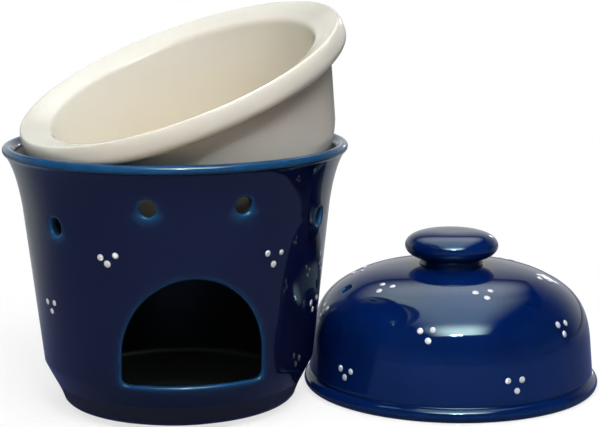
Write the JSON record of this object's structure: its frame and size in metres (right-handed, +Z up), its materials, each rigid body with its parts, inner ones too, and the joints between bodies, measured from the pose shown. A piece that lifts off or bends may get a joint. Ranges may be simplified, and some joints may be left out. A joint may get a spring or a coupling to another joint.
{
  "type": "apple baker",
  "caption": "Glazed stoneware apple baker: a vented candle warmer with an arched door, a deep baking dish leaning in its mouth, and a domed lid with a knob.",
  "frame": {"origin": "on the table, at the middle of the footprint of the set as it stands in the picture", "axes": "+Z up; the warmer's door faces -Y; the lid stands on the +X side of the warmer"},
  "size_m": [0.2862, 0.1638, 0.1872],
  "materials": {
    "cobalt_glaze": "glossy dark cobalt glaze on stoneware, lighter where it breaks over edges, with small raised white dots",
    "royal_glaze": "glossy royal blue glaze on stoneware, with small raised white dots",
    "ivory_glaze": "glossy clear glaze over a cream body"
  },
  "bodies": {
    "warmer": {"warmer_body": "cobalt_glaze"},
    "dish": {"baking_dish": "ivory_glaze"},
    "lid": {"lid_dome": "royal_glaze", "lid_knob": "royal_glaze"}
  },
  "joints": [
    {"name": "dish_lift", "type": "slide", "parent": "warmer", "child": "dish", "axis": [0, 0, 1], "range_m": [0, 0.06]},
    {"name": "lid_lift", "type": "slide", "parent": "warmer", "child": "lid", "axis": [0.5, 0, 0.866], "range_m": [0, 0.15]}
  ]
}
